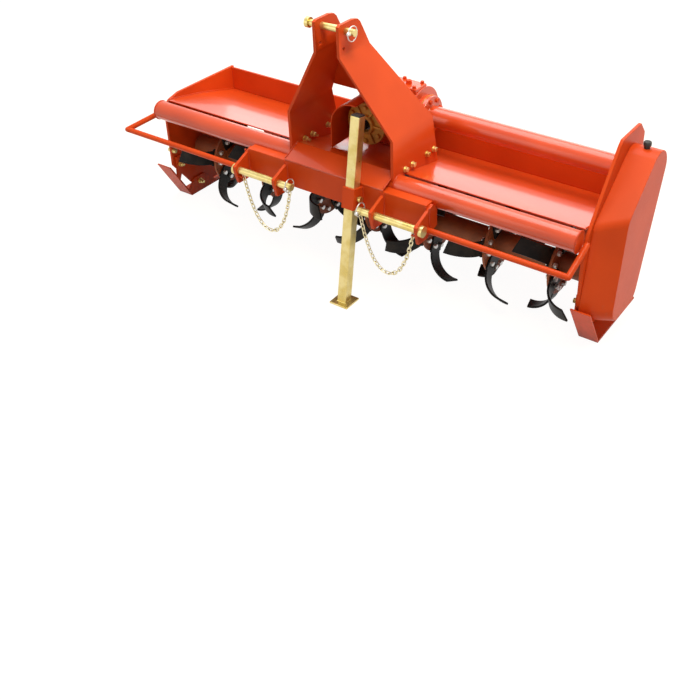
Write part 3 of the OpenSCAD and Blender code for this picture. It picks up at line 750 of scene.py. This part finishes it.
def tube_seals():
    """Rings of sealer at the ends of the drive tube."""
    case_radius, case_bead = 59, 3
    gearbox_radius, gearbox_bead = 75, 1.6
    shape = bmesh.new()
    case_end = Vector((PLATE_IN - case_bead / 2, DRIVE.y, DRIVE.z))
    add_ring(shape, case_end, RIGHT, case_radius, case_bead)
    add_ring(shape, DRIVE_START, RIGHT, gearbox_radius, gearbox_bead)
    modelled(shape, "tube_seals", "frame", "ochre_paint", crease=ROUND_CREASE)


def linch_pin(node, lift):
    """A headed linch pin with its sprung ring closed round the hitch pin, in its node's place."""
    pin = ((0, -4), (5, -3.5), (7.5, 0), (7.8, 6), (6, 11), (4.5, 13), (4.5, 49), (3, 52), (0, 52))
    half_pin, ring_radius, wire = 26, 26, 2.1
    place = middle(node)
    shape = bmesh.new()
    add_turned(shape, pin, place + half_pin * FRONT, REAR, steps=20)
    add_ring(shape, place + lift * UP, RIGHT, ring_radius, wire)
    piece = modelled(shape, node + "_sprung", "frame", "bright_steel", crease=ROUND_CREASE)
    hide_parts(node)


RING_LIFT = 5

stand_plug()
breather()
bearing_cap()
gearbox_covers()
housing_ribs()
tube_seals()
linch_pin("linch_left", RING_LIFT)
linch_pin("linch_right", RING_LIFT)
linch_pin("linch_top", -RING_LIFT)


# Weld beads

def beads():
    """Beads where plates, beam, bars and tubes meet."""
    bead, bar_bead, foot_bead = 3, 2.4, 3.5
    proud = 1
    tube_radius, bar_radius = 38, 11.2
    beam_low, beam_high = 358, 448
    rail_y, rail_low, rail_high = 602, 386, 482
    deck_folds = ((207, 479), (410, 438), (598, 387))
    wall_start, wall_end = (84, 464), (158, 498)
    bar_end = (70, 366)
    sleeve_sides, sleeve_low, sleeve_high = (84, 136), 374, 452
    foot_half, foot_front = 90, (440, 432)
    tube_axis = (FRONT_TUBE.y, FRONT_TUBE.z)
    hitch_faces = (HITCH_IN - proud, HITCH_IN + HEADSTOCK_PLATE + proud,
                   HITCH_OUT - HEADSTOCK_PLATE - proud, HITCH_OUT + proud)
    shape = bmesh.new()
    for side in (-1, 1):
        for x in hitch_faces:
            add_bead(shape, (side * x, BEAM_FRONT, beam_low), (side * x, BEAM_FRONT, beam_high), bead)
        plate = side * (PLATE_IN - proud)
        add_bead(shape, (plate, rail_y, rail_low), (plate, rail_y, rail_high), bead)
        for start, end in zip(deck_folds, deck_folds[1:]):
            add_bead(shape, (plate, *start), (plate, *end), bead)
        wall = side * (MAST_IN - proud)
        add_bead(shape, (wall, *wall_start), (wall, *wall_end), bead)
        add_ring(shape, (plate, *tube_axis), RIGHT, tube_radius, bead)
        add_ring(shape, (side * (HITCH_OUT + proud), *bar_end), RIGHT, bar_radius, bar_bead)
        add_ring(shape, (side * (MAST_OUT + proud / 2), *tube_axis), RIGHT, tube_radius, bead)
    for x in sleeve_sides:
        sleeve_y = BEAM_FRONT - proud
        add_bead(shape, (x, sleeve_y, sleeve_low), (x, sleeve_y, sleeve_high), bead)
    add_bead(shape, (-foot_half, *foot_front), (foot_half, *foot_front), foot_bead)
    modelled(shape, "weld_beads", "frame", "red_paint", WELD_RED, crease=ROUND_CREASE)


beads()


# Camera, floor and light

WHITE = (1, 1, 1)
PICTURE = 700
FOCAL_PIXELS = 1009.2
CENTRE_PIXELS = (404.07, 254.56)
SENSOR = 36
EYE = Vector((2016, -2470.6, 2197))


def camera():
    """The camera at the photograph's place, with its framing."""
    turn, tilt, roll = math.radians(33.76), math.radians(32.76), math.radians(-0.37)
    back = Vector((math.sin(turn) * math.cos(tilt), -math.cos(turn) * math.cos(tilt), math.sin(tilt)))
    right = Vector((math.cos(turn), math.sin(turn), 0))
    up = back.cross(right)
    level = math.cos(roll) * right + math.sin(roll) * up
    upright = math.cos(roll) * up - math.sin(roll) * right
    lens = bpy.data.cameras.new("camera")
    lens.lens = FOCAL_PIXELS / PICTURE * SENSOR
    lens.sensor_width = SENSOR
    lens.shift_x = (PICTURE / 2 - CENTRE_PIXELS[0]) / PICTURE
    lens.shift_y = (CENTRE_PIXELS[1] - PICTURE / 2) / PICTURE
    eye = bpy.data.objects.new("camera", lens)
    stance = Matrix((level, upright, back)).transposed().to_4x4()
    eye.matrix_world = Matrix.Translation(DRAWING @ EYE) @ stance
    bpy.context.scene.collection.objects.link(eye)
    bpy.context.scene.camera = eye


def floor():
    """A pale floor that is nearly white to the camera and keeps the shadow."""
    reach, sink = 14, 0.6 * MM
    warm_grey = (0.66, 0.53, 0.36)
    glow_strength, glow_share = 1.32, 0.72
    shape = bmesh.new()
    bmesh.ops.create_grid(shape, x_segments=1, y_segments=1, size=reach,
                          matrix=Matrix.Translation(-sink * UP))
    mesh = bpy.data.meshes.new("floor")
    shape.to_mesh(mesh)
    shape.free()
    f = Finish("floor")
    f.surface({"Base Color": warm_grey, "Roughness": 0.9})
    matt = Socket(f, f.shader.outputs["BSDF"])
    glow = f.node("Emission", {}, {"Color": WHITE, "Strength": glow_strength})
    both = f.node("MixShader", {}, {0: f.shown() * glow_share, 1: matt, 2: glow})
    f.feed(f.tree.nodes["Material Output"].inputs["Surface"], both)
    mesh.materials.append(f.material)
    ground = bpy.data.objects.new("floor", mesh)
    bpy.context.scene.collection.objects.link(ground)


def sky():
    """White to the camera, in gloss and through glass, and a soft grey as light."""
    light_level, shown_level = 0.24, 1.0
    world = bpy.data.worlds.new("studio")
    bpy.context.scene.world = world
    world.use_nodes = True
    nodes = Nodes(world.node_tree)
    level = nodes.node("MapRange", {}, {"Value": nodes.shown(), "To Min": light_level,
                                        "To Max": shown_level})
    background = nodes.tree.nodes["Background"]
    nodes.feed(background.inputs["Color"], WHITE)
    nodes.feed(background.inputs["Strength"], level)


def softbox(name, place, aim, size, power, colour=WHITE):
    """A rectangular area light that points at a place, with its width and height."""
    light = bpy.data.lights.new(name, "AREA")
    light.shape = "RECTANGLE"
    light.size, light.size_y = size
    light.energy = power
    light.color = colour
    lamp = bpy.data.objects.new(name, light)
    lamp.matrix_world = facing(Vector(place), Vector(place) - Vector(aim))
    bpy.context.scene.collection.objects.link(lamp)


camera()
floor()
sky()
softbox("key_right", (1.5, -0.8, 4.5), (0.2, 0, 0.5), (1.8, 1.8), 165, (1, 0.88, 0.66))
softbox("top", (-0.6, 0.8, 3.6), (0, 0.1, 0.4), (2.6, 2.6), 85)
softbox("front_fill", (-1.8, -3.6, 1.6), (0, 0, 0.4), (2.2, 2.2), 18, (1, 0.90, 0.76))
softbox("case_side", (2.5, 0.9, 1.0), (1.05, 0.2, 0.4), (0.9, 0.9), 6, (1, 0.84, 0.56))
softbox("rear_left", (-1.7, 3.8, 1.5), (0.2, 0.3, 0.45), (3.6, 2.4), 38)
softbox("rear_right", (2.6, 3.2, 2.0), (0.2, 0.2, 0.7), (2.6, 2.0), 28, (1, 0.84, 0.52))

bpy.context.scene.view_settings.view_transform = "Standard"
